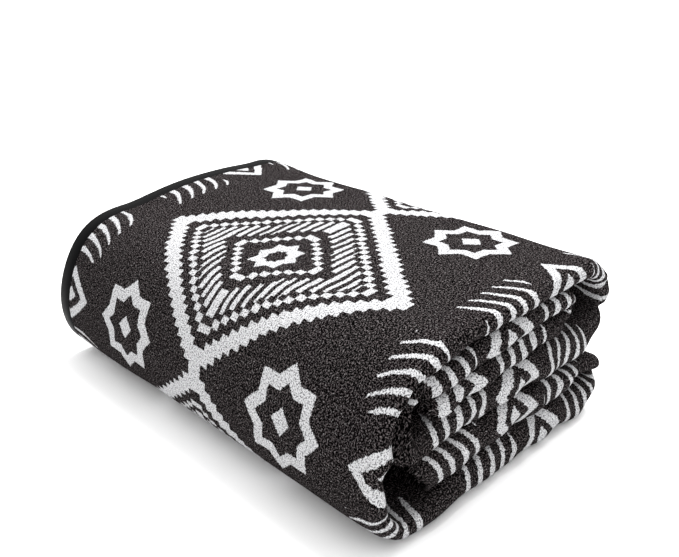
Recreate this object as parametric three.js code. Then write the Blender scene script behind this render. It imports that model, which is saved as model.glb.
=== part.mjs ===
// A wool blanket, folded in quarters to a long strip and then over and over into a stack.
// The blanket is one sheet. A smooth tape is sewn round each of its two long edges.
//
// The strip of four layers runs to and fro along X in six passes, joined by turns at the
// left and right. Its folded side, a round ridge on every pass, is at low Y. The two bound
// edges lie together at high Y. The stack rests on the face at Z = 0.

import * as THREE from 'three';

// Driving dimensions, in millimetres
const stackDepth = 552; // from the ridges to the bound edges
const clothThickness = 4;
const tapeThickness = 0.8;
const tapeWidth = 21; // of each leg of the tape on the cloth
const sewnGap = 0.3; // between the cloth and its tape
const nestGap = 4; // between the outer fold of the strip and the inner one
const innerEdgeStep = 4; // how far the inner bound edge lies behind the outer one
const hiddenFoldInset = 16; // how far the hidden fold lies behind the bound edges
const restSnap = 0.3; // cloth this close to the table lies flat on it

// Under its tape the cloth is pressed thin, so that the tape stands level with the nap.
const halfCloth = clothThickness / 2;
const halfAtInnerFold = 1.2; // the nap is squeezed in the tightest fold
const tapeInset = 0.1; // of the tape's face below the face of the nap
const tapeOutside = halfCloth - tapeInset;
const tapeInside = tapeOutside - tapeThickness;
const halfUnderTape = tapeInside - sewnGap;
const tapeStep = 1; // length of the slope from pressed cloth to full cloth

// The six passes, in the order in which the strip runs through them. X is measured from
// the outermost face of the left turn. Heights are those of the middle of the strip, and
// thick is the thickness of its four layers together, both at even steps along the pass.
// Lean is how much further along X a free end reaches at its outer face than at its middle.
const passes = [
  {
    name: 'lower tucked end',
    startX: 67,
    endX: 335,
    height: [58, 57, 61, 59, 58, 61],
    thick: [42, 41, 39, 35, 29, 21],
    startLean: -11,
  },
  {
    name: 'bottom',
    startX: 318,
    endX: 47,
    height: [17, 20, 19.5, 17, 10],
    thick: [34, 40, 39, 34, 20],
  },
  {
    name: 'top',
    startX: 98.6,
    endX: 305,
    height: [177.5, 179.5, 180.5, 179.5, 176.5],
    thick: [19.6, 19.6, 19.6, 19.6, 19.6],
  },
  {
    name: 'fourth',
    startX: 300,
    endX: 80,
    height: [93, 97, 99, 97, 97],
    thick: [40, 41, 36, 34.5, 30],
  },
  {
    name: 'second',
    startX: 80,
    endX: 273,
    height: [148, 152.5, 156, 158, 157.5],
    thick: [22.5, 25, 26, 22.5, 19.6],
  },
  {
    name: 'upper tucked end',
    startX: 273,
    endX: 76,
    height: [132.5, 134, 129.5, 127.5, 124.5],
    thick: [19.6, 23, 25, 22.5, 21],
    endLean: 5,
  },
];

// The turn after each pass but the last: where the middle of the strip reaches furthest.
const turns = [
  { name: 'low right', reachX: 362, reachZ: 41, thick: 19.6, steps: 8 },
  { name: 'outer left', reachX: 10.4, reachZ: 75, thick: 19.6, steps: 10 },
  { name: 'high right', reachX: 360, reachZ: 127, thick: 20, steps: 8 },
  { name: 'inner left', reachX: 50, reachZ: 120, thick: 20, steps: 7 },
  { name: 'inner right', reachX: 286, reachZ: 145, thick: 19.6, steps: 6 },
];
const passSteps = 3;

// Where the ridge crosses a turn, it is pinched in. Place counts from 0 to 1 along a turn.
const pinches = [
  { turn: 'low right', place: 0.5, depth: 10, width: 0.15 },
  { turn: 'outer left', place: 0.2, depth: 8, width: 0.14 },
  { turn: 'high right', place: 0.2, depth: 6, width: 0.12 },
  { turn: 'high right', place: 0.6, depth: 12, width: 0.15 },
  { turn: 'inner left', place: 0.45, depth: 10, width: 0.45 },
];
const pinchReach = 75; // how far into the strip a pinch is felt

// The left turn at the bound edges: its shoulder has sunk, and its foot stands off the table.
const shoulderSink = { depth: 9, x: 95, spread: 62 };
const footLift = { height: 9, spread: 42, top: 85, fromDepth: 0.55 };
const stackHeight = 190;

// How the whole stack has spread and risen by its own spring: it is longer between its turns,
// taller at the right, wider at the foot of the left turn and narrower at its shoulder.
const spread = { length: 16, from: 60, to: 280, height: 4, heightAtRight: 10, rightEnd: 372 };
const footSpread = { out: 3.4, height: 22, span: 32 };
const shoulderDraw = { inward: 3.3, height: 150, span: 40 };
const leftTurnReach = 110;

const mix = (a, b, share) => a + (b - a) * share;
const smooth = (share) => {
  const t = Math.min(1, Math.max(0, share));
  return t * t * (3 - 2 * t);
};
const bell = (distance) => Math.exp(-distance * distance);

// A smooth curve through evenly spaced values, level at both ends
function curveThrough(values, share) {
  const place = Math.min(share, 1) * (values.length - 1);
  const i = Math.min(Math.floor(place), values.length - 2);
  const atEnd = (k) => k <= 0 || k >= values.length - 1;
  const slopeAt = (k) => (atEnd(k) ? 0 : (values[k + 1] - values[k - 1]) / 2);
  const t = place - i;
  const t2 = t * t;
  const t3 = t2 * t;
  return (
    values[i] * (2 * t3 - 3 * t2 + 1) +
    slopeAt(i) * (t3 - 2 * t2 + t) +
    values[i + 1] * (3 * t2 - 2 * t3) +
    slopeAt(i + 1) * (t3 - t2)
  );
}

// The strip is a chain of lengths: a pass, a turn, a pass, and so on. Each gives the middle
// of the strip and its thickness for a share from 0 to 1 of the way along.
function passLength(pass) {
  return {
    steps: passSteps,
    name: pass.name,
    at: (share) => ({
      x: mix(pass.startX, pass.endX, share),
      z: curveThrough(pass.height, share),
      thick: curveThrough(pass.thick, share),
      lean: (pass.startLean ?? 0) * (1 - smooth(2 * share)) + (pass.endLean ?? 0) * smooth(2 * share - 1),
    }),
  };
}

// A turn is two quarters of an ellipse, from the end of one pass to the start of the next
function turnLength(turn, before, after) {
  const start = { x: before.endX, z: before.height.at(-1), thick: before.thick.at(-1) };
  const end = { x: after.startX, z: after.height[0], thick: after.thick[0] };
  return {
    steps: turn.steps,
    name: turn.name,
    at: (share) => {
      const angle = Math.PI * share;
      const near = share < 0.5 ? start : end;
      const level = Math.abs(Math.cos(angle));
      return {
        x: mix(near.x, turn.reachX, Math.sin(angle)),
        z: mix(turn.reachZ, near.z, level),
        thick: mix(turn.thick, near.thick, smooth(level)),
        lean: 0,
      };
    },
  };
}

const lengths = [];
passes.forEach((pass, i) => {
  lengths.push(passLength(pass));
  if (i < turns.length) {
    lengths.push(turnLength(turns[i], pass, passes[i + 1]));
  }
});

// Along the strip, the whole part of a place is the length and the rest is its share
function stripAt(place) {
  const index = Math.min(Math.floor(place), lengths.length - 1);
  return lengths[index].at(place - index);
}

function stripFrame(place) {
  const nudge = 1e-4;
  const last = lengths.length;
  const before = stripAt(Math.max(0, place - nudge));
  const after = stripAt(Math.min(last, place + nudge));
  const run = Math.hypot(after.x - before.x, after.z - before.z);
  const here = stripAt(place);
  const outward = { x: -(after.z - before.z) / run, z: (after.x - before.x) / run };
  return { ...here, outward };
}

// Across the strip, the sheet runs from the outer bound edge to the ridge, round the outer
// fold, back to the hidden fold, forward inside, round the inner fold and back to the inner
// bound edge. A straight stretch goes from one depth to another at one layer, and a fold
// goes round from one layer to another. Layers count in pitches from the strip's middle.
const underTape = tapeWidth + sewnGap;
const outerEdge = stackDepth - tapeThickness - sewnGap;
const innerEdge = outerEdge - innerEdgeStep;
const hiddenFold = stackDepth - hiddenFoldInset;

const stretches = [
  { from: 'outer edge', to: 'outer tape', layer: 1.5, steps: 1 },
  { from: 'outer tape', to: 'outer nap', layer: 1.5, steps: 1 },
  { from: 'outer nap', to: 'outer fold', layer: 1.5, steps: 3 },
  { fold: 'outer fold', layer: 1.5, toLayer: -1.5, side: -1, steps: 5 },
  { from: 'outer fold', to: 'hidden fold', layer: -1.5, steps: 2 },
  { fold: 'hidden fold', layer: -1.5, toLayer: -0.5, side: 1, steps: 4 },
  { from: 'hidden fold', to: 'inner fold', layer: -0.5, steps: 2 },
  { fold: 'inner fold', layer: -0.5, toLayer: 0.5, side: -1, steps: 4 },
  { from: 'inner fold', to: 'inner nap', layer: 0.5, steps: 2 },
  { from: 'inner nap', to: 'inner tape', layer: 0.5, steps: 1 },
  { from: 'inner tape', to: 'inner edge', layer: 0.5, steps: 1 },
];

// Depths that the stretches name, for a given spacing of the layers
function depthsFor(pitch) {
  return {
    'outer edge': outerEdge,
    'outer tape': outerEdge - underTape,
    'outer nap': outerEdge - underTape - tapeStep,
    'outer fold': halfCloth + 1.5 * pitch,
    'hidden fold': hiddenFold - 0.5 * pitch,
    'inner fold': clothThickness + nestGap + halfCloth + 0.5 * pitch,
    'inner nap': innerEdge - underTape - tapeStep,
    'inner tape': innerEdge - underTape,
    'inner edge': innerEdge,
  };
}

const pressed = {
  'outer edge': halfUnderTape,
  'outer tape': halfUnderTape,
  'inner fold': halfAtInnerFold,
  'inner tape': halfUnderTape,
  'inner edge': halfUnderTape,
};
const halfThickness = (name) => pressed[name] ?? halfCloth;

function acrossAt(place, pitch) {
  const index = Math.min(Math.floor(place), stretches.length - 1);
  const stretch = stretches[index];
  const share = place - index;
  const depths = depthsFor(pitch);
  if (stretch.fold) {
    const middle = ((stretch.layer + stretch.toLayer) / 2) * pitch;
    const radius = ((stretch.layer - stretch.toLayer) / 2) * pitch;
    const angle = Math.PI * share;
    return {
      depth: depths[stretch.fold] + stretch.side * Math.abs(radius) * Math.sin(angle),
      offset: middle + radius * Math.cos(angle),
      half: halfThickness(stretch.fold),
    };
  }
  return {
    depth: mix(depths[stretch.from], depths[stretch.to], share),
    offset: stretch.layer * pitch,
    half: mix(halfThickness(stretch.from), halfThickness(stretch.to), share),
  };
}

// How far a place on the strip is pinched in at its ridge
function pinchAt(place) {
  return pinches.reduce((sum, pinch) => {
    const centre = lengths.findIndex((length) => length.name === pinch.turn) + pinch.place;
    return sum + pinch.depth * bell((place - centre) / pinch.width);
  }, 0);
}

// Where a point of the tables' stack lies once the stack has spread
function spreadOut(x, y, z) {
  const atLeft = 1 - smooth(x / leftTurnReach);
  const longer = spread.length * smooth((x - spread.from) / (spread.to - spread.from));
  const out = footSpread.out * bell((z - footSpread.height) / footSpread.span) * atLeft;
  const drawn = shoulderDraw.inward * bell((z - shoulderDraw.height) / shoulderDraw.span) * atLeft;
  const taller = spread.height + spread.heightAtRight * smooth(x / spread.rightEnd);
  return new THREE.Vector3(x + longer - out + drawn, y, z * (1 + taller / stackHeight));
}

// The middle of the cloth at a place along the strip and a place across it
function clothPoint(along, across) {
  const frame = stripFrame(along);
  const pitch = (frame.thick - clothThickness) / 3;
  const { depth, offset } = acrossAt(across, pitch);
  const fade = 1 - smooth(depth / pinchReach);
  const outerShare = 0.5 + offset / (3 * pitch);
  const x = frame.x + frame.outward.x * offset + (frame.lean * offset) / (1.5 * pitch);
  const y = depth + pinchAt(along) * outerShare * fade;
  const z = frame.z + frame.outward.z * offset;
  const back = smooth(y / stackDepth);
  const sink = shoulderSink.depth * back * bell((x - shoulderSink.x) / shoulderSink.spread);
  const farBack = smooth((y / stackDepth - footLift.fromDepth) / (1 - footLift.fromDepth));
  const low = 1 - Math.min(z, footLift.top) / footLift.top;
  const lift = footLift.height * farBack * low * bell(x / footLift.spread);
  return spreadOut(x, y, z - (sink * z) / stackHeight + lift);
}

// The cloth's point, its direction across the sheet and the way its outer face looks
function clothFrame(along, across) {
  const nudge = 1e-4;
  const lastAlong = lengths.length;
  const lastAcross = stretches.length;
  const a0 = clothPoint(Math.max(0, along - nudge), across);
  const a1 = clothPoint(Math.min(lastAlong, along + nudge), across);
  const c0 = clothPoint(along, Math.max(0, across - nudge));
  const c1 = clothPoint(along, Math.min(lastAcross, across + nudge));
  const crosswise = c1.sub(c0).normalize();
  const face = a1.sub(a0).cross(crosswise).normalize();
  return { point: clothPoint(along, across), crosswise, face };
}

// Even steps through a chain of lengths or stretches, as places
function placesThrough(chain) {
  const places = chain.flatMap((link, index) =>
    Array.from({ length: link.steps }, (unused, k) => index + k / link.steps),
  );
  return [...places, chain.length];
}

const alongPlaces = placesThrough(lengths);
const acrossPlaces = placesThrough(stretches);

// A closed body from a flat list of points and the quads between them
function closedBody(points, quads) {
  const geometry = new THREE.BufferGeometry();
  const coordinates = points.flatMap((point) => point.toArray());
  geometry.setAttribute('position', new THREE.Float32BufferAttribute(coordinates, 3));
  const volume = quads.reduce((sum, [a, b, c, d]) => {
    const wedge = (p, q, r) => points[p].dot(points[q].clone().cross(points[r])) / 6;
    return sum + wedge(a, b, c) + wedge(a, c, d);
  }, 0);
  const facing = volume > 0 ? quads : quads.map((quad) => [...quad].reverse());
  geometry.setIndex(facing.flatMap(([a, b, c, d]) => [a, b, c, a, c, d]));
  geometry.computeVertexNormals();
  return geometry;
}

function restOnTable(point) {
  if (point.z < restSnap) {
    point.z = 0;
  }
  return point;
}

// The blanket is two faces of the sheet, joined all round by its four edges
function blanketGeometry() {
  const rows = alongPlaces.length;
  const columns = acrossPlaces.length;
  const outerFace = [];
  const innerFace = [];
  for (const along of alongPlaces) {
    const pitch = (stripAt(along).thick - clothThickness) / 3;
    for (const across of acrossPlaces) {
      const { point, face } = clothFrame(along, across);
      const { half } = acrossAt(across, pitch);
      outerFace.push(restOnTable(point.clone().addScaledVector(face, half)));
      innerFace.push(restOnTable(point.clone().addScaledVector(face, -half)));
    }
  }
  const inner = outerFace.length;
  const at = (row, column) => row * columns + column;
  const quads = [];
  for (let row = 0; row < rows - 1; row += 1) {
    for (let column = 0; column < columns - 1; column += 1) {
      const corners = [at(row, column), at(row + 1, column), at(row + 1, column + 1), at(row, column + 1)];
      quads.push(corners);
      quads.push(corners.map((corner) => corner + inner).reverse());
    }
  }
  const rim = [];
  for (let row = 0; row < rows; row += 1) {
    rim.push(at(row, 0));
  }
  for (let column = 1; column < columns; column += 1) {
    rim.push(at(rows - 1, column));
  }
  for (let row = rows - 2; row >= 0; row -= 1) {
    rim.push(at(row, columns - 1));
  }
  for (let column = columns - 2; column > 0; column -= 1) {
    rim.push(at(0, column));
  }
  rim.forEach((corner, i) => {
    const next = rim[(i + 1) % rim.length];
    quads.push([next, corner, corner + inner, next + inner]);
  });
  return closedBody([...outerFace, ...innerFace], quads);
}

// The tape is a narrow U round the cloth's edge, drawn here out from the edge and up. Its legs
// end on the cloth where it is no longer pressed.
const bendOut = sewnGap + tapeThickness;
const tapeOutline = [
  [-tapeWidth, tapeOutside],
  [sewnGap, tapeOutside],
  [bendOut, tapeInside],
  [bendOut, -tapeInside],
  [sewnGap, -tapeOutside],
  [-tapeWidth, -tapeOutside],
  [-tapeWidth, -tapeInside],
  [sewnGap, -tapeInside],
  [sewnGap, tapeInside],
  [-tapeWidth, tapeInside],
];

function tapeGeometry(edgePlace, inwardSign) {
  const count = tapeOutline.length;
  const legPlace = edgePlace + inwardSign * (tapeWidth / underTape);
  const points = alongPlaces.flatMap((along) => {
    const edge = clothFrame(along, edgePlace);
    const legEnd = clothFrame(along, legPlace);
    return tapeOutline.map(([out, up]) => {
      if (out < 0) {
        return legEnd.point.clone().addScaledVector(legEnd.face, up);
      }
      return edge.point.clone().addScaledVector(edge.crosswise, -inwardSign * out).addScaledVector(edge.face, up);
    });
  });
  const quads = [];
  for (let row = 0; row < alongPlaces.length - 1; row += 1) {
    for (let k = 0; k < count; k += 1) {
      const next = (k + 1) % count;
      quads.push([row * count + k, row * count + next, (row + 1) * count + next, (row + 1) * count + k]);
    }
  }
  // Each end is closed over the bend and over both legs
  const endQuads = [
    [0, 1, 8, 9],
    [1, 2, 3, 8],
    [3, 4, 7, 8],
    [4, 5, 6, 7],
  ];
  const lastRow = (alongPlaces.length - 1) * count;
  for (const quad of endQuads) {
    quads.push([...quad].reverse());
    quads.push(quad.map((k) => k + lastRow));
  }
  return closedBody(points, quads);
}

const wool = new THREE.MeshStandardMaterial({ color: 0x3a3637, roughness: 0.95, metalness: 0 });
const tape = new THREE.MeshStandardMaterial({ color: 0x121214, roughness: 0.5, metalness: 0 });

function namedMesh(name, geometry, material) {
  const mesh = new THREE.Mesh(geometry, material);
  mesh.name = name;
  return mesh;
}

const foldedBlanket = new THREE.Group();
foldedBlanket.add(namedMesh('blanket', blanketGeometry(), wool));
foldedBlanket.add(namedMesh('binding_outer', tapeGeometry(0, 1), tape));
foldedBlanket.add(namedMesh('binding_inner', tapeGeometry(stretches.length, -1), tape));

// The origin is on the table, under the middle of the stack
const reach = new THREE.Box3().setFromObject(foldedBlanket);
const middle = reach.getCenter(new THREE.Vector3());
foldedBlanket.children.forEach((mesh) => mesh.geometry.translate(-middle.x, -middle.y, 0));

export default foldedBlanket;
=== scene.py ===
from math import cos, pi, sin

import bpy
import numpy as np
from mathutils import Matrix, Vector


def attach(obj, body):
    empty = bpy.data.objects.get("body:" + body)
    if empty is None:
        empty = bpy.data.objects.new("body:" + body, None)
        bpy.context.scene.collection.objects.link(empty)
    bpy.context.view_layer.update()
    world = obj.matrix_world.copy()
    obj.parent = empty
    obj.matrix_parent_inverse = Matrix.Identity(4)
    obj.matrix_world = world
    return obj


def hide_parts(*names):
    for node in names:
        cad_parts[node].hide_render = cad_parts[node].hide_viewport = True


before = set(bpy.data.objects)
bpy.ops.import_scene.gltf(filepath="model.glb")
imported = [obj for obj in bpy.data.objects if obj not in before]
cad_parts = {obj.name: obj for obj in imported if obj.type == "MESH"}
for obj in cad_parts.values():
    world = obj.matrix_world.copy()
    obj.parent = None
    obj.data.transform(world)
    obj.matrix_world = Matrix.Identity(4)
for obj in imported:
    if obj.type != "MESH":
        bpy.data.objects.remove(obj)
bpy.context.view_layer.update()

# ------------------------------------------------------------------------------------------
# The room: a plain white table top that runs out of sight under a white ceiling, which is
# brightest overhead, with one large soft lamp high on the right. The camera stands at the
# photograph's angle to the corner where two faces of the stack meet.

bpy.ops.object.select_all(action="DESELECT")

table_side = 60.0
bpy.ops.mesh.primitive_plane_add(size=table_side, location=(0, 0, 0))
table = bpy.context.object
table.name = "table_top"
white_top = bpy.data.materials.new("white_top")
white_top.use_nodes = True
top_shader = white_top.node_tree.nodes["Principled BSDF"]
top_shader.inputs["Base Color"].default_value = (0.97, 0.97, 0.97, 1)
top_shader.inputs["Roughness"].default_value = 0.8
top_shader.inputs["Specular IOR Level"].default_value = 0.2
table.data.materials.append(white_top)


def soft_light(name, place, target, size, watts):
    lamp = bpy.data.lights.new(name, "AREA")
    lamp.shape = "DISK"
    lamp.size = size
    lamp.energy = watts
    holder = bpy.data.objects.new(name, lamp)
    bpy.context.collection.objects.link(holder)
    holder.location = place
    holder.rotation_euler = (Vector(target) - Vector(place)).to_track_quat("-Z", "Y").to_euler()
    return holder


soft_light("high_right", place=(0.9, 0.2, 2.2), target=(0, 0, 0.1), size=1.5, watts=76)

at_horizon, overhead = 0.52, 1.95
surround = bpy.data.worlds.new("white_surround")
surround.use_nodes = True
sky = surround.node_tree
way_up = sky.nodes.new("ShaderNodeSeparateXYZ")
sky.links.new(sky.nodes.new("ShaderNodeTexCoord").outputs["Generated"], way_up.inputs[0])
brightness = sky.nodes.new("ShaderNodeMapRange")
for number, socket in zip((0.0, 1.0, at_horizon, overhead), list(brightness.inputs)[1:5]):
    socket.default_value = number
sky.links.new(way_up.outputs[2], brightness.inputs[0])
sky.links.new(brightness.outputs[0], sky.nodes["Background"].inputs["Strength"])
sky.nodes["Background"].inputs["Color"].default_value = (1, 1, 1, 1)
bpy.context.scene.world = surround
bpy.context.scene.view_settings.view_transform = "Standard"

camera_data = bpy.data.cameras.new("camera")
camera_data.sensor_width = 36
camera_data.lens = 42.45
camera_data.clip_start = 0.05
camera = bpy.data.objects.new("camera", camera_data)
bpy.context.collection.objects.link(camera)
camera.location = (-0.5900, -0.6357, 0.5160)
line_of_sight = Vector((0.64218, 0.65295, -0.40156))
camera.rotation_euler = line_of_sight.to_track_quat("-Z", "Y").to_euler()
bpy.context.scene.camera = camera


# ------------------------------------------------------------------------------------------
# The blanket: one sheet of thick, napped wool jacquard, 4 mm through, plain at its two short
# ends. It is folded in quarters to a long strip of four layers, and the strip is then folded
# over and over into six passes. Nothing holds it: it keeps its folds by its own weight.
# Sizes are in millimetres. Along X they count from the outermost face of the left turn, and
# depth counts from the ridges (low Y) back to the bound edges.

mm = 0.001
stack_depth = 552
stack_height = 190
middle_x = 194.1
middle_depth = 276
cloth_thickness = 4
tape_thickness = 0.8
tape_width = 21
sewn_gap = 0.3
nest_gap = 4
inner_edge_step = 4
hidden_fold_inset = 16
tape_inset = 0.1
half_cloth = cloth_thickness / 2
half_at_inner_fold = 1.2
tape_outside = half_cloth - tape_inset
tape_inside = tape_outside - tape_thickness
half_under_tape = tape_inside - sewn_gap
tape_step = 1

# The middle of the strip on each pass: its height, and the thickness of its four layers
passes = [
    dict(start=67, end=335, height=[58, 57, 61, 59, 58, 61], thick=[42, 41, 39, 35, 29, 21],
         start_lean=-11),
    dict(start=318, end=47, height=[17, 20, 19.5, 17, 10], thick=[34, 40, 39, 34, 20]),
    dict(start=98.6, end=305, height=[177.5, 179.5, 180.5, 179.5, 176.5], thick=[19.6] * 5),
    dict(start=300, end=80, height=[93, 97, 99, 97, 97], thick=[40, 41, 36, 34.5, 30]),
    dict(start=80, end=273, height=[148, 152.5, 156, 158, 157.5],
         thick=[22.5, 25, 26, 22.5, 19.6]),
    dict(start=273, end=76, height=[132.5, 134, 129.5, 127.5, 124.5],
         thick=[19.6, 23, 25, 22.5, 21], end_lean=5),
]
# The turn after each pass: where the middle of the strip reaches furthest
turns = [
    dict(name="low right", reach_x=362, reach_z=41, thick=19.6),
    dict(name="outer left", reach_x=10.4, reach_z=75, thick=19.6),
    dict(name="high right", reach_x=360, reach_z=127, thick=20),
    dict(name="inner left", reach_x=50, reach_z=120, thick=20),
    dict(name="inner right", reach_x=286, reach_z=145, thick=19.6),
]
pass_steps = 34
turn_steps = {"low right": 26, "outer left": 34, "high right": 26, "inner left": 16,
              "inner right": 8}
# Where the ridge is pinched in as it goes round a turn; place is the share of the turn
pinches = [
    dict(turn="low right", place=0.5, depth=10, width=0.15),
    dict(turn="outer left", place=0.2, depth=8, width=0.14),
    dict(turn="high right", place=0.2, depth=6, width=0.12),
    dict(turn="high right", place=0.6, depth=12, width=0.15),
    dict(turn="inner left", place=0.45, depth=10, width=0.45),
]
pinch_reach = 75
shoulder_sink = dict(depth=9, x=95, spread=62)
foot_lift = dict(height=9, spread=42, top=85, from_depth=0.55)
# How the whole stack has spread and risen by its own spring
spread = dict(length=16, start=60, end=280, height=4, height_at_right=10, right_end=372)
foot_spread = dict(out=3.4, height=22, span=32)
shoulder_draw = dict(inward=3.3, height=150, span=40)
left_turn_reach = 110


def mix(a, b, share):
    return a + (b - a) * share


def smooth(share):
    t = np.clip(share, 0, 1)
    return t * t * (3 - 2 * t)


def bell(distance):
    return np.exp(-distance * distance)


def curve_through(values, share):
    """A smooth curve through evenly spaced values, level at both ends."""
    place = min(share, 1) * (len(values) - 1)
    i = min(int(place), len(values) - 2)

    def slope(k):
        return 0 if k <= 0 or k >= len(values) - 1 else (values[k + 1] - values[k - 1]) / 2

    t = place - i
    return (values[i] * (2 * t**3 - 3 * t**2 + 1) + slope(i) * (t**3 - 2 * t**2 + t)
            + values[i + 1] * (3 * t**2 - 2 * t**3) + slope(i + 1) * (t**3 - t**2))


def strip_at(place):
    """The middle of the strip at a place: whole part the pass or turn, the rest its share."""
    index = min(int(place), 2 * len(turns))
    share = place - index
    if index % 2 == 0:
        run = passes[index // 2]
        lean = (run.get("start_lean", 0) * (1 - smooth(2 * share))
                + run.get("end_lean", 0) * smooth(2 * share - 1))
        return (mix(run["start"], run["end"], share), curve_through(run["height"], share),
                curve_through(run["thick"], share), lean)
    turn, before, after = turns[index // 2], passes[index // 2], passes[index // 2 + 1]
    near = (before["end"], before["height"][-1], before["thick"][-1])
    if share >= 0.5:
        near = (after["start"], after["height"][0], after["thick"][0])
    level = abs(cos(pi * share))
    return (mix(near[0], turn["reach_x"], sin(pi * share)), mix(turn["reach_z"], near[1], level),
            mix(turn["thick"], near[2], smooth(level)), 0)


last_along = 2 * len(turns) + 1

# Across the strip the sheet runs from the outer bound edge to the ridge, round the outer
# fold, back to the hidden fold, forward inside, round the inner fold and back again.
# A stretch goes from one depth to another at one layer; a fold goes round between two.
outer_edge = stack_depth - tape_thickness - sewn_gap
inner_edge = outer_edge - inner_edge_step
under_tape = tape_width + sewn_gap
stretches = [
    dict(run=("outer edge", "outer tape"), layer=1.5, steps=1),
    dict(run=("outer tape", "outer nap"), layer=1.5, steps=1),
    dict(run=("outer nap", "outer fold"), layer=1.5, steps=66),
    dict(fold="outer fold", layer=1.5, to=-1.5, side=-1, steps=18),
    dict(run=("outer fold", "hidden fold"), layer=-1.5, steps=18),
    dict(fold="hidden fold", layer=-1.5, to=-0.5, side=1, steps=6),
    dict(run=("hidden fold", "inner fold"), layer=-0.5, steps=16),
    dict(fold="inner fold", layer=-0.5, to=0.5, side=-1, steps=8),
    dict(run=("inner fold", "inner nap"), layer=0.5, steps=18),
    dict(run=("inner nap", "inner tape"), layer=0.5, steps=1),
    dict(run=("inner tape", "inner edge"), layer=0.5, steps=1),
]
last_across = len(stretches)
half_thickness = {"outer edge": half_under_tape, "outer tape": half_under_tape,
                  "inner fold": half_at_inner_fold, "inner tape": half_under_tape,
                  "inner edge": half_under_tape}


def depths_for(pitch):
    return {"outer edge": outer_edge, "outer tape": outer_edge - under_tape,
            "outer nap": outer_edge - under_tape - tape_step,
            "outer fold": half_cloth + 1.5 * pitch,
            "hidden fold": stack_depth - hidden_fold_inset - 0.5 * pitch,
            "inner fold": cloth_thickness + nest_gap + half_cloth + 0.5 * pitch,
            "inner nap": inner_edge - under_tape - tape_step,
            "inner tape": inner_edge - under_tape, "inner edge": inner_edge}


def across_at(place, pitch):
    """Depth, layer offset and half thickness at one place across, for each row's pitch."""
    index = min(int(place), last_across - 1)
    stretch, share = stretches[index], place - index
    depths = depths_for(pitch)
    ones = np.ones_like(pitch)
    if "fold" in stretch:
        middle = (stretch["layer"] + stretch["to"]) / 2 * pitch
        radius = (stretch["layer"] - stretch["to"]) / 2 * pitch
        return (depths[stretch["fold"]] + stretch["side"] * np.abs(radius) * sin(pi * share),
                middle + radius * cos(pi * share),
                half_thickness.get(stretch["fold"], half_cloth) * ones)
    first, second = stretch["run"]
    half = mix(half_thickness.get(first, half_cloth), half_thickness.get(second, half_cloth),
               share)
    return (mix(depths[first], depths[second], share) * ones, stretch["layer"] * pitch,
            half * ones)


def spread_out(x, y, z):
    """Where a point of the tables' stack lies once the stack has spread."""
    at_left = 1 - smooth(x / left_turn_reach)
    longer = spread["length"] * smooth((x - spread["start"]) / (spread["end"] - spread["start"]))
    out = foot_spread["out"] * bell((z - foot_spread["height"]) / foot_spread["span"]) * at_left
    drawn = (shoulder_draw["inward"]
             * bell((z - shoulder_draw["height"]) / shoulder_draw["span"]) * at_left)
    taller = spread["height"] + spread["height_at_right"] * smooth(x / spread["right_end"])
    return np.stack([x + longer - out + drawn, y, z * (1 + taller / stack_height)], axis=-1)


# Creases on the face of the ridges, each a soft trough from one place to another
# (X and height), pushed in towards the back and fading with depth
creases = [
    dict(start=(303, 174), end=(372, 160), push=7, width=6, reach=70),
    dict(start=(297, 157), end=(385, 126), push=6, width=6, reach=80),
    dict(start=(292, 132), end=(306, 142), push=9, width=9, reach=60),
    dict(start=(345, 84), end=(384, 88), push=7, width=8, reach=90),
    dict(start=(318, 60), end=(378, 48), push=7, width=6, reach=70),
    dict(start=(46, 136), end=(58, 150), push=45, width=12, reach=160),
    dict(start=(2, 84), end=(24, 88), push=8, width=12, reach=90),
    dict(start=(20, 124), end=(34, 130), push=7, width=8, reach=70),
    dict(start=(125, 178), end=(142, 184), push=4, width=8, reach=50),
    dict(start=(205, 140), end=(240, 150), push=4, width=8, reach=50),
    dict(start=(128, 92), end=(146, 97), push=5, width=9, reach=60),
    dict(start=(215, 50), end=(236, 58), push=4, width=9, reach=60),
]


def from_crease(x, z, start, end):
    run = np.subtract(end, start)
    share = np.clip(((x - start[0]) * run[0] + (z - start[1]) * run[1]) / run.dot(run), 0, 1)
    return np.hypot(x - start[0] - share * run[0], z - start[1] - share * run[1])


def uneven(p, q, longest, seed):
    """A soft unevenness, about -1 to 1, that is the same on every run."""
    chance = np.random.default_rng(seed)
    total = 0
    for _ in range(8):
        way, size, start = chance.uniform(0, 2 * pi, 3) * (1, 0.08, 1)
        wave = 2 * pi / (longest * (0.5 + size))
        total = total + np.sin((p * cos(way) + q * sin(way)) * wave + start)
    return total / 4


# The unevenness of the ridges, the left face and the top: how far it pushes, its longest wave,
# the seed that keeps it the same, and the distance over which it fades
ridge_slack = dict(push=2.2, wave=95, seed=3, fade=90, stretch=2.5)
side_slack = dict(push=0.8, wave=150, seed=5, fade=110)
top_swell = dict(push=1.1, wave=170, seed=8, full_height=200, fade_from=330, fade=170)
# The foot of the left turn and the front foot, both rolled up off the table
foot_roll = dict(height=12, x=5, span=50, back_share=0.8, back_from=300, back_span=200)
front_roll = dict(height=3.5, x=130, span=70, fade=80)
roll_top = 80
# The lower half of the inner left turn, which sags: over which X and which heights it comes
# and goes, each as (start, distance)
turn_sag = dict(depth=22, x_in=(16, 20), x_out=(48, 38), z_in=(68, 44), z_out=(120, 22),
                fade=220)
# The back right corner, sprung open
corner_spring = dict(along=9, up=6, y=(430, 122), x=385, span=45, z=(110, 60))


def rise(value, start, distance):
    return smooth((value - start) / distance)


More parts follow.
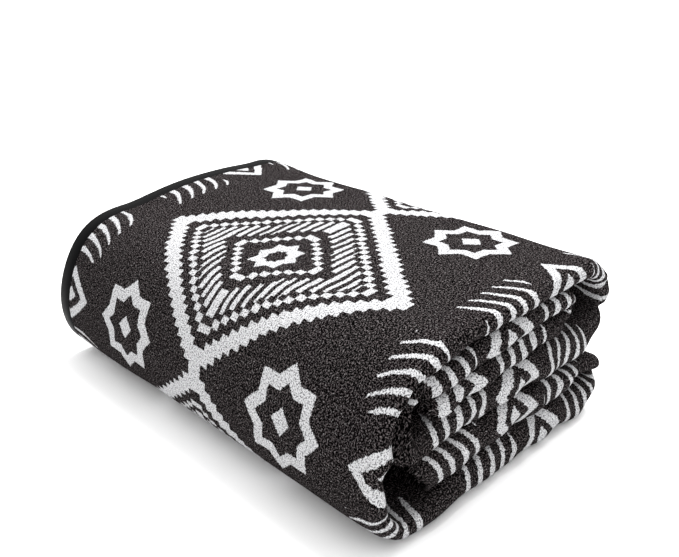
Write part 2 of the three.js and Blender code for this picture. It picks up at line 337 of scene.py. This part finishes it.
def lay_by_hand(cloth):
    """The creases, the slack of the cloth, the rolled feet, the sag and the sprung corner."""
    x, y, z = cloth[..., 0], cloth[..., 1], cloth[..., 2]
    sizes = ridge_slack
    pushed = (sizes["push"] * uneven(x, sizes["stretch"] * z, sizes["wave"], sizes["seed"])
              * (1 - smooth(y / sizes["fade"])))
    for c in creases:
        trough = bell(from_crease(x, z, c["start"], c["end"]) / c["width"])
        pushed = pushed + c["push"] * trough * (1 - smooth(y / c["reach"]))
    sizes = corner_spring
    sprung = rise(y, *sizes["y"]) * bell((x - sizes["x"]) / sizes["span"]) * rise(z, *sizes["z"])
    sizes = foot_roll
    at_left = (sizes["height"] * bell((x - sizes["x"]) / sizes["span"])
               * (1 - sizes["back_share"] * rise(y, sizes["back_from"], sizes["back_span"])))
    sizes = front_roll
    at_front = sizes["height"] * bell((x - sizes["x"]) / sizes["span"]) * (1 - smooth(y / sizes["fade"]))
    rolled = (at_left + at_front) * (1 - smooth(z / roll_top))
    sizes = turn_sag
    sagged = (sizes["depth"] * rise(x, *sizes["x_in"]) * (1 - rise(x, *sizes["x_out"]))
              * (1 - smooth(y / sizes["fade"]))
              * rise(z, *sizes["z_in"]) * (1 - rise(z, *sizes["z_out"])))
    sizes = side_slack
    slack = sizes["push"] * uneven(y, z, sizes["wave"], sizes["seed"]) * (1 - smooth(x / sizes["fade"]))
    sizes = top_swell
    swell = (sizes["push"] * uneven(x, y, sizes["wave"], sizes["seed"]) * z / sizes["full_height"]
             * (1 - rise(y, sizes["fade_from"], sizes["fade"])))
    return np.stack([x + slack + corner_spring["along"] * sprung, y + pushed,
                     z + swell + rolled - sagged + corner_spring["up"] * sprung], axis=-1)


def cloth_points(along, across):
    """The middle of the cloth for every place along the strip and every place across it."""
    nudge = 1e-4
    here = np.array([strip_at(a) for a in along], dtype=float)
    before = np.array([strip_at(max(0, a - nudge))[:2] for a in along], dtype=float)
    after = np.array([strip_at(min(last_along, a + nudge))[:2] for a in along], dtype=float)
    step = after - before
    step /= np.hypot(step[:, 0], step[:, 1])[:, None]
    outward_x, outward_z = -step[:, 1], step[:, 0]
    pitch = (here[:, 2] - cloth_thickness) / 3
    depth = np.empty((len(along), len(across)))
    offset = np.empty_like(depth)
    for k, place in enumerate(across):
        depth[:, k], offset[:, k], _ = across_at(place, pitch)
    pinch = np.zeros(len(along))
    for p in pinches:
        centre = 2 * [t["name"] for t in turns].index(p["turn"]) + 1 + p["place"]
        pinch += p["depth"] * bell((np.asarray(along) - centre) / p["width"])
    outer_share = 0.5 + offset / (3 * pitch[:, None])
    fade = 1 - smooth(depth / pinch_reach)
    x = (here[:, 0, None] + outward_x[:, None] * offset
         + here[:, 3, None] * offset / (1.5 * pitch[:, None]))
    y = depth + pinch[:, None] * outer_share * fade
    z = here[:, 1, None] + outward_z[:, None] * offset
    back = smooth(y / stack_depth)
    sink = shoulder_sink["depth"] * back * bell((x - shoulder_sink["x"]) / shoulder_sink["spread"])
    far_back = smooth((y / stack_depth - foot_lift["from_depth"]) / (1 - foot_lift["from_depth"]))
    low = 1 - np.minimum(z, foot_lift["top"]) / foot_lift["top"]
    lift = foot_lift["height"] * far_back * low * bell(x / foot_lift["spread"])
    return lay_by_hand(spread_out(x, y, z - sink * z / stack_height + lift))


def unit(vectors):
    return vectors / np.linalg.norm(vectors, axis=-1, keepdims=True)


def cloth_frames(along, across):
    """Points, the direction across the sheet and the way its outer face looks."""
    nudge = 1e-4
    along, across = np.asarray(along, float), np.asarray(across, float)
    points = cloth_points(along, across)
    runs = (cloth_points(np.minimum(along + nudge, last_along), across)
            - cloth_points(np.maximum(along - nudge, 0), across))
    crosswise = unit(cloth_points(along, np.minimum(across + nudge, last_across))
                     - cloth_points(along, np.maximum(across - nudge, 0)))
    return points, crosswise, unit(np.cross(runs, crosswise))


along_places = [0.0]
for index in range(last_along):
    steps = pass_steps if index % 2 == 0 else turn_steps[turns[index // 2]["name"]]
    along_places += [index + (k + 1) / steps for k in range(steps)]
across_places = [0.0]
for index, stretch in enumerate(stretches):
    across_places += [index + (k + 1) / stretch["steps"] for k in range(stretch["steps"])]
rows, columns = len(along_places), len(across_places)


def settle(points):
    """From part millimetres to the frame's metres, with nothing under the table top."""
    placed = points.copy()
    placed[..., 2] = np.maximum(placed[..., 2], 0)
    return (placed - np.array([middle_x, middle_depth, 0])) * mm


middle, crosswise, face = cloth_frames(along_places, across_places)
pitches = np.array([(strip_at(a)[2] - cloth_thickness) / 3 for a in along_places])
half = np.stack([across_at(place, pitches)[2] for place in across_places], axis=1)
outer_face = settle(middle + face * half[..., None])
inner_face = settle(middle - face * half[..., None])

# The ends of the cloth are rounded by a line of points half way through it
end_round = 1.3
run_out = unit(middle[0] - middle[1])
first_end = settle(middle[0] + run_out * end_round)
run_out = unit(middle[-1] - middle[-2])
last_end = settle(middle[-1] + run_out * end_round)

count = rows * columns
points = np.concatenate([outer_face.reshape(-1, 3), inner_face.reshape(-1, 3),
                         first_end, last_end])
index_of = np.arange(count).reshape(rows, columns)
a, b = index_of[:-1, :-1].ravel(), index_of[1:, :-1].ravel()
c, d = index_of[1:, 1:].ravel(), index_of[:-1, 1:].ravel()
quads = [np.stack([a, b, c, d], axis=1), np.stack([d, c, b, a], axis=1) + count]
# Long edges, closed straight through under the tapes
left, right = index_of[:, 0], index_of[:, -1]
quads.append(np.stack([left[1:], left[:-1], left[:-1] + count, left[1:] + count], axis=1))
quads.append(np.stack([right[:-1], right[1:], right[1:] + count, right[:-1] + count], axis=1))
# Short ends, closed over their rounding points
near, far = index_of[0], index_of[-1]
near_mid, far_mid = 2 * count + np.arange(columns), 2 * count + columns + np.arange(columns)
quads.append(np.stack([near[:-1], near[1:], near_mid[1:], near_mid[:-1]], axis=1))
quads.append(np.stack([near_mid[:-1], near_mid[1:], near[1:] + count, near[:-1] + count], axis=1))
quads.append(np.stack([far[1:], far[:-1], far_mid[:-1], far_mid[1:]], axis=1))
quads.append(np.stack([far_mid[1:], far_mid[:-1], far[:-1] + count, far[1:] + count], axis=1))
quads = np.concatenate(quads)
corner = points[quads]
volume = float(np.sum(np.cross(corner[:, 1], corner[:, 2]) * corner[:, 0]
                      + np.cross(corner[:, 2], corner[:, 3]) * corner[:, 0])) / 6
if volume < 0:
    quads = quads[:, ::-1]

# The pattern follows the cloth: U is the way along the strip and V the way from the bound
# edge, both in metres of flat cloth.
strip_line = np.array([strip_at(p)[:2] for p in along_places], dtype=float)
along_steps = np.hypot(*np.diff(strip_line, axis=0).T) * mm
along_flat = np.concatenate([[0], np.cumsum(along_steps)])
across_steps = np.linalg.norm(np.diff(middle, axis=1), axis=-1) * mm
across_flat = np.concatenate([np.zeros((rows, 1)), np.cumsum(across_steps, axis=1)], axis=1)
flat = np.stack([np.repeat(along_flat[:, None], columns, axis=1), across_flat], axis=-1)
flat_all = np.concatenate([flat.reshape(-1, 2), flat.reshape(-1, 2), flat[0], flat[-1]])


def cloth_mesh(name, points, quads, flat_places):
    mesh = bpy.data.meshes.new(name)
    mesh.from_pydata(points.tolist(), [], quads.tolist())
    layer = mesh.uv_layers.new(name="flat cloth")
    corners = np.empty(len(mesh.loops), dtype=np.int32)
    mesh.loops.foreach_get("vertex_index", corners)
    layer.data.foreach_set("uv", flat_places[corners].astype(np.float32).ravel())
    mesh.polygons.foreach_set("use_smooth", np.ones(len(mesh.polygons), dtype=bool))
    mesh.update()
    piece = bpy.data.objects.new(name, mesh)
    bpy.context.collection.objects.link(piece)
    return piece


blanket = cloth_mesh("folded_blanket", points, quads, flat_all)

# Wool: charcoal and off-white yarn. The figure is a plain one, drawn by rule in millimetres of
# flat cloth: a row of large lozenges in stair steps, eight-pointed stars between them, and a
# border of short bowed strokes that comes round the ridges.
wool = bpy.data.materials.new("napped_wool_jacquard")
wool.use_nodes = True
tree = wool.node_tree
wool_shader = tree.nodes["Principled BSDF"]


def node(kind, **settings):
    made = tree.nodes.new(kind)
    for key, value in settings.items():
        setattr(made, key, value)
    return made


def put(value, socket):
    if hasattr(value, "is_output"):
        tree.links.new(value, socket)
    else:
        socket.default_value = value


def calc(operation, *values):
    made = node("ShaderNodeMath", operation=operation)
    for value, socket in zip(values, made.inputs):
        put(value, socket)
    return made.outputs[0]


def add(p, q):
    return calc("ADD", p, q)


def less(p, q):
    return calc("SUBTRACT", p, q)


def times(p, q):
    return calc("MULTIPLY", p, q)


def either(p, q):
    return calc("MAXIMUM", p, q)


def both(p, q):
    return calc("MINIMUM", p, q)


def between(value, low, high):
    return both(calc("GREATER_THAN", value, low), calc("LESS_THAN", value, high))


def grain(scale, detail, vector, rough=0.5):
    made = node("ShaderNodeTexNoise")
    made.inputs["Scale"].default_value = scale
    made.inputs["Detail"].default_value = detail
    made.inputs["Roughness"].default_value = rough
    tree.links.new(vector, made.inputs["Vector"])
    return made.outputs["Fac"]


def within(value, low, high, new_low, new_high):
    made = node("ShaderNodeMapRange")
    for number, socket in zip((value, low, high, new_low, new_high), made.inputs):
        put(number, socket)
    return made.outputs[0]


flat_uv = node("ShaderNodeUVMap", uv_map="flat cloth").outputs[0]
parts = node("ShaderNodeSeparateXYZ")
tree.links.new(flat_uv, parts.inputs[0])

# The same lengths a little way off, so that two grains don't agree
moved = node("ShaderNodeVectorMath", operation="ADD")
tree.links.new(flat_uv, moved.inputs[0])
moved.inputs[1].default_value = (3.1, 1.7, 0)
moved_uv = moved.outputs[0]

# Yarns wander a little, slowly and quickly, and the figure steps from stitch to stitch
slow_wander, quick_wander = 4.0, 4.4


def wandered(part, uv):
    slow = times(less(grain(45, 1, uv), 0.5), slow_wander)
    quick = times(less(grain(360, 3, uv, 0.7), 0.5), quick_wander)
    return add(times(parts.outputs[part], 1000), add(slow, quick))


def stepped(value, step):
    return times(calc("FLOOR", calc("DIVIDE", value, step)), step)


stitch = 1.2
u = stepped(wandered(0, flat_uv), stitch)
v = stepped(wandered(1, moved_uv), stitch)

# The figure's repeat and the middle of one lozenge, along the strip (U) and across it (V)
repeat_u, repeat_v = 300, 532
middle_u, middle_v = 880, 290
stair_u, stair_v = 7.5, 9.5


def wrapped(value, repeat):
    return calc("WRAP", value, repeat / 2, -repeat / 2)


# The lozenges, with their stairs counted out from the middle
from_middle_u = calc("ABSOLUTE", wrapped(less(u, middle_u), repeat_u))
from_middle_v = calc("ABSOLUTE", wrapped(less(v, middle_v), repeat_v))
stair = add(calc("FLOOR", calc("DIVIDE", from_middle_u, stair_u)),
            calc("FLOOR", calc("DIVIDE", from_middle_v, stair_v)))
picket_pitch, picket_share = 11, 0.52
picket = calc("FRACT", calc("DIVIDE", from_middle_v, picket_pitch))
pickets = both(between(stair, 8.5, 12.5), calc("LESS_THAN", picket, picket_share))
outline, thin_ring, inner_ring = (16.5, 19.5), (13.5, 14.5), (5.5, 6.5)
rings = either(between(stair, *outline),
               either(between(stair, *thin_ring), between(stair, *inner_ring)))
figure = either(rings, pickets)

point_reach = 1.42  # of a star's points, against its size


def star(across_u, across_v, size):
    square = calc("LESS_THAN", either(across_u, across_v), size)
    diamond = calc("LESS_THAN", add(across_u, across_v), size * point_reach)
    return either(square, diamond)


def hollow_star(across_u, across_v, size, wall, eye):
    ring = both(star(across_u, across_v, size), less(1, star(across_u, across_v, size - wall)))
    return either(ring, calc("LESS_THAN", add(across_u, across_v), eye))


small_star_size, small_star_hole = 21, 10
small_star = both(star(from_middle_u, from_middle_v, small_star_size),
                  less(1, star(from_middle_u, from_middle_v, small_star_hole)))
star_row = 136  # from the middle of the lozenges
between_u = less(repeat_u / 2, from_middle_u)
between_v = calc("ABSOLUTE", less(from_middle_v, star_row))
large_star = hollow_star(between_u, between_v, size=37, wall=12, eye=13)
figure = either(figure, either(small_star, large_star))

# The border: bowed strokes, broad in the middle, and a small lozenge in line with each star
border_v = calc("ABSOLUTE", wrapped(less(v, middle_v + repeat_v / 2), repeat_v))
stroke_half = 44
stroke_pitch = 17
stroke_bow = 0.0075
strokes_from, strokes_to = 46, 124
broad, narrow = 0.42, 0.18
bow = times(times(border_v, border_v), stroke_bow)
stroke = calc("FRACT", calc("DIVIDE", add(u, bow), stroke_pitch))
in_border = both(calc("LESS_THAN", border_v, stroke_half),
                 between(between_u, strokes_from, strokes_to))
strokes = both(in_border,
               calc("LESS_THAN", stroke, within(border_v, 0, stroke_half, broad, narrow)))
lozenge_slope, lozenge_ring, lozenge_eye = 0.8, (20, 33), 9
tip = add(between_u, times(border_v, lozenge_slope))
small_lozenge = either(between(tip, *lozenge_ring), calc("LESS_THAN", tip, lozenge_eye))
figure = either(figure, either(strokes, small_lozenge))

# Fibres of the other yarn show through in specks, and the nap shades the ground
fine = grain(680, 2, flat_uv, 0.6)
specks = grain(560, 2, moved_uv, 0.6)
patchy = grain(30, 3, flat_uv)


def tint(low, high, share):
    made = node("ShaderNodeMix", data_type="RGBA")
    put(share, made.inputs[0])
    put(low, made.inputs[6])
    put(high, made.inputs[7])
    return made.outputs[2]


black_fibre, charcoal_fibre = (0.0, 0.0, 0.0, 1), (0.092, 0.079, 0.080, 1)
pale_fleck = (0.27, 0.255, 0.255, 1)
charcoal = tint(black_fibre, charcoal_fibre, within(fine, 0.52, 0.62, 0, 1))
charcoal = tint(charcoal, pale_fleck, within(specks, 0.61, 0.70, 0, 0.8))
grey_fibre, white_fibre = (0.13, 0.13, 0.135, 1), (0.58, 0.58, 0.59, 1)
dark_fleck = (0.08, 0.076, 0.08, 1)
off_white = tint(grey_fibre, white_fibre, within(fine, 0.41, 0.52, 0, 1))
off_white = tint(off_white, dark_fleck, within(specks, 0.60, 0.76, 0, 0.55))
colour = tint(charcoal, off_white, figure)
tree.links.new(colour, wool_shader.inputs["Base Color"])
wool_shader.inputs["Roughness"].default_value = 0.95
wool_shader.inputs["Specular IOR Level"].default_value = 0.0
wool_shader.inputs["Sheen Weight"].default_value = 0.003
wool_shader.inputs["Sheen Roughness"].default_value = 0.5

nap_height = add(times(fine, 0.7), add(times(specks, 0.5), times(patchy, 0.4)))
nap = node("ShaderNodeBump")
nap.inputs["Strength"].default_value = 0.9
nap.inputs["Distance"].default_value = 0.0022
tree.links.new(nap_height, nap.inputs["Height"])
tree.links.new(nap.outputs[0], wool_shader.inputs["Normal"])
blanket.data.materials.append(wool)

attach(blanket, "root")
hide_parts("blanket")


# ------------------------------------------------------------------------------------------
# The bindings: a smooth black tape, 21 mm wide on each face, folded over each long edge of
# the blanket and sewn through close to its inner border.

smooth_below = 0.9  # radians between two faces of the tape
tape_bend = sewn_gap + tape_thickness
border_round, border_drop = 0.4, 0.3  # of the tape's inner borders, and of its bend
bend_from, bend_round = sewn_gap - 0.2, 0.25
# The tape's section, out from the cloth's edge and up from its middle
tape_section = np.array([
    (-tape_width, tape_outside - border_drop), (-tape_width + border_round, tape_outside),
    (-tape_width * 0.7, tape_outside), (-tape_width * 0.35, tape_outside),
    (bend_from, tape_outside), (tape_bend - bend_round, tape_outside - border_drop),
    (tape_bend, tape_inside - border_drop), (tape_bend, -tape_inside + border_drop),
    (tape_bend - bend_round, -tape_outside + border_drop), (bend_from, -tape_outside),
    (-tape_width * 0.5, -tape_outside), (-tape_width + border_round, -tape_outside),
    (-tape_width, -tape_outside + border_drop), (-tape_width, -tape_inside),
    (sewn_gap, -tape_inside), (sewn_gap, tape_inside), (-tape_width, tape_inside),
])

satin = bpy.data.materials.new("black_binding_tape")
satin.use_nodes = True
tree = satin.node_tree
satin_shader = tree.nodes["Principled BSDF"]
satin_shader.inputs["Base Color"].default_value = (0.002, 0.002, 0.0022, 1)
satin_shader.inputs["Specular IOR Level"].default_value = 0.03
tape_uv = node("ShaderNodeUVMap", uv_map="flat cloth").outputs[0]
tape_parts = node("ShaderNodeSeparateXYZ")
tree.links.new(tape_uv, tape_parts.inputs[0])
tape_grain = grain(700, 2, tape_uv)
tree.links.new(within(tape_grain, 0.2, 0.8, 0.38, 0.56), satin_shader.inputs["Roughness"])
rib_pitch, stitch_pitch = 0.0009, 0.0032
rib = calc("SINE", times(tape_parts.outputs[0], 2 * pi / rib_pitch))
seam_from, seam_to = 0.0012, 0.0020  # metres in from the border
seam = between(tape_parts.outputs[1], seam_from, seam_to)
stitch_share = calc("FRACT", calc("DIVIDE", tape_parts.outputs[0], stitch_pitch))
stitched = times(seam, calc("GREATER_THAN", stitch_share, 0.25))
tape_height = add(times(rib, 0.12), add(times(stitched, -1.0), times(tape_grain, 0.3)))
tape_bump = node("ShaderNodeBump")
tape_bump.inputs["Strength"].default_value = 0.5
tape_bump.inputs["Distance"].default_value = 0.0004
tree.links.new(tape_height, tape_bump.inputs["Height"])
tree.links.new(tape_bump.outputs[0], satin_shader.inputs["Normal"])


def binding(name, across, outward):
    """A tape swept along one long edge, closed at both ends."""
    out, up = tape_section.T
    tape_places = across - outward * np.maximum(-out, 0) / under_tape
    on_cloth, crossing, facing = cloth_frames(along_places, tape_places)
    rings = (on_cloth + crossing * outward * np.maximum(out, 0)[None, :, None]
             + facing * up[None, :, None])
    sides = len(tape_section)
    places = settle(rings).reshape(-1, 3)
    ring = np.arange(rows * sides).reshape(rows, sides)
    around = np.roll(ring, -1, axis=1)
    faces = np.stack([ring[:-1], around[:-1], around[1:], ring[1:]], axis=-1).reshape(-1, 4)
    tape_faces = faces.tolist()
    # Ends: the outer leg, the bend and the inner leg
    outer_leg = [0, 1, 2, 3, 4, 15, 16]
    bend = [4, 5, 6, 7, 8, 9, 14, 15]
    inner_leg = [9, 10, 11, 12, 13, 14]
    last_ring = (rows - 1) * sides
    for part in (outer_leg, bend, inner_leg):
        tape_faces.append(part[::-1])
        tape_faces.append([k + last_ring for k in part])
    section_steps = np.hypot(*np.diff(tape_section, axis=0).T)
    around_way = np.concatenate([[0], np.cumsum(section_steps)]) * mm
    flat_tape = np.stack([np.repeat(along_flat[:, None], sides, axis=1),
                          np.repeat(around_way[None], rows, axis=0)], axis=-1).reshape(-1, 2)
    mesh = bpy.data.meshes.new(name)
    mesh.from_pydata(places.tolist(), [], tape_faces)
    layer = mesh.uv_layers.new(name="flat cloth")
    for loop in mesh.loops:
        layer.data[loop.index].uv = flat_tape[loop.vertex_index]
    piece = bpy.data.objects.new(name, mesh)
    bpy.context.collection.objects.link(piece)
    bpy.ops.object.select_all(action="DESELECT")
    piece.select_set(True)
    bpy.context.view_layer.objects.active = piece
    bpy.ops.object.mode_set(mode="EDIT")
    bpy.ops.mesh.select_all(action="SELECT")
    bpy.ops.mesh.normals_make_consistent(inside=False)
    bpy.ops.object.mode_set(mode="OBJECT")
    bpy.ops.object.shade_smooth_by_angle(angle=smooth_below)
    piece.data.materials.append(satin)
    return piece


outer_binding = binding("outer_binding", 0.0, -1)
inner_binding = binding("inner_binding", float(last_across), 1)
for tape, place in ((outer_binding, "binding_outer"), (inner_binding, "binding_inner")):
    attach(tape, "root")
    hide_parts(place)
